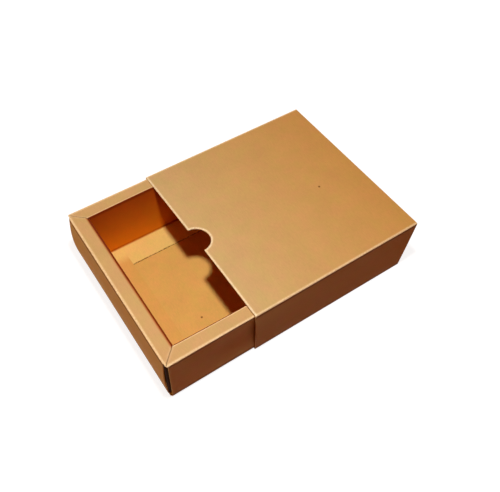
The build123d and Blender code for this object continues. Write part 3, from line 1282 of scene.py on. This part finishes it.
# %% Make the floor
FLOOR_DROP = 0.02 * MM
FLOOR_SIZE = 3.0
WHITE = (1, 1, 1, 1)
NEAR_WHITE = 0.86
NEAR = 0.15
FAR = 0.45
SHADE_GREY = (0.30, 0.30, 0.30, 1)
TABLE_BROWN = (0.31, 0.08, 0.015, 1)


def for_the_camera(r):
    """1 for a ray from the camera, or one that comes by way of a mirror or glass."""
    path = r.node("ShaderNodeLightPath").outputs
    seen = r.math("MAXIMUM", path["Is Camera Ray"], path["Is Glossy Ray"])
    return r.math("MAXIMUM", seen, path["Is Transmission Ray"])


def floor_material():
    """White to the camera, with the box's shadow, and a brown table to all other rays."""
    material = bpy.data.materials.new("white_table")
    material.use_nodes = True
    nodes = material.node_tree.nodes
    nodes.remove(nodes["Principled BSDF"])
    r = Recipe(material.node_tree)
    place = r.node("ShaderNodeTexCoord").outputs["Object"]
    away = r.vector("DISTANCE", place, (0, 0, 0))
    white = r.spread(away, NEAR, FAR, NEAR_WHITE, 1.0, smooth=True)
    glow = r.node("ShaderNodeEmission", {"Color": WHITE, "Strength": white})
    shade = r.node("ShaderNodeBsdfDiffuse", {"Color": SHADE_GREY})
    shown = r.node("ShaderNodeAddShader")
    r.feed(shown.inputs[0], glow.outputs[0])
    r.feed(shown.inputs[1], shade.outputs[0])
    table = r.node("ShaderNodeBsdfDiffuse", {"Color": TABLE_BROWN})
    either = r.node("ShaderNodeMixShader", {"Fac": for_the_camera(r)})
    r.feed(either.inputs[1], table.outputs[0])
    r.feed(either.inputs[2], shown.outputs[0])
    r.feed(nodes["Material Output"].inputs["Surface"], either.outputs[0])
    return material


half_floor = FLOOR_SIZE / 2
corner_signs = ((-1, -1), (1, -1), (1, 1), (-1, 1))
floor_corners = [(x * half_floor, y * half_floor, -FLOOR_DROP) for x, y in corner_signs]
floor_mesh = bpy.data.meshes.new("floor")
floor_mesh.from_pydata(floor_corners, [], [(0, 1, 2, 3)])
floor_mesh.materials.append(floor_material())
floor = new_object("floor", floor_mesh)
print("floor", FLOOR_SIZE, "m")

# %% [markdown]
# Light
#
# One small lamp hangs almost straight above the mouth. That is read from the shadow of the mouth
# on the tray's floor, which falls just behind the edge and is soft by a few millimetres. A weak,
# warm wide lamp in front lifts the front wall. Another behind the box, on its left, shows the two
# sides that the photograph doesn't, and the room gives a little warm light from all round.

# %% Hang the lamps
KEY_PLACE = Vector((0.076, -0.096, 0.43))
KEY_RADIUS = 0.019
KEY_POWER = 5.5
WIDE_LAMPS = {
    "front_lamp": (Vector((-0.20, -0.75, 0.16)), 1.8, (1.0, 0.76, 0.36)),
    "rear_lamp": (Vector((-0.55, 0.60, 0.12)), 4.0, (1.0, 0.95, 0.84)),
}
WIDE_SIZE = 0.5
AIM = Vector((0, -0.05, 0.02))
ROOM_LIGHT = (0.13, 0.035, 0.008, 1)


def hang(lamp, place):
    """Put a lamp in the scene, aimed at the box."""
    holder = new_object(lamp.name, lamp)
    holder.location = place
    holder.rotation_euler = (AIM - place).to_track_quat("-Z", "Y").to_euler()
    print(lamp.name, lamp.energy, "W")


key_lamp = bpy.data.lights.new("key_lamp", "POINT")
key_lamp.energy = KEY_POWER
key_lamp.shadow_soft_size = KEY_RADIUS
hang(key_lamp, KEY_PLACE)
for name, (place, power, colour) in WIDE_LAMPS.items():
    wide_lamp = bpy.data.lights.new(name, "AREA")
    wide_lamp.energy = power
    wide_lamp.color = colour
    wide_lamp.size = WIDE_SIZE
    hang(wide_lamp, place)

world = bpy.data.worlds.new("room")
world.use_nodes = True
bpy.context.scene.world = world
r = Recipe(world.node_tree)
room = r.mix(for_the_camera(r), ROOM_LIGHT, WHITE)
r.feed(world.node_tree.nodes["Background"].inputs["Color"], room)
print("room light", ROOM_LIGHT[:3])

# %% [markdown]
# Camera
#
# The camera stands where the photograph was taken from. It was found by fitting the box's straight
# edges, and it is a little over a third of a metre above the table, in front and to the right.
# The photograph was cropped off centre, which is what the two shifts are for.

# %% Place the camera
CAMERA_PLACE = Vector((0.1958, -0.1784, 0.3467))
CAMERA_LOOK = Vector((-0.43886, 0.29129, -0.85003)).normalized()
CAMERA_RIGHT = Vector((0.54411, 0.83899, 0.00655)).normalized()
CAMERA_LENS = 39.32
CAMERA_SENSOR = 36.0
CAMERA_SHIFT = (0.0595, 0.0912)
CAMERA_NEAREST = 0.01

camera_data = bpy.data.cameras.new("camera")
camera_data.sensor_width = CAMERA_SENSOR
camera_data.lens = CAMERA_LENS
camera_data.shift_x, camera_data.shift_y = CAMERA_SHIFT
camera_data.clip_start = CAMERA_NEAREST
camera = new_object("camera", camera_data)
camera_up = CAMERA_RIGHT.cross(CAMERA_LOOK)
facing = Matrix((CAMERA_RIGHT, camera_up, -CAMERA_LOOK)).transposed()
camera.matrix_world = Matrix.Translation(CAMERA_PLACE) @ facing.to_4x4()
bpy.context.scene.camera = camera
bpy.context.scene.view_settings.view_transform = "Standard"
print("camera at", tuple(CAMERA_PLACE))
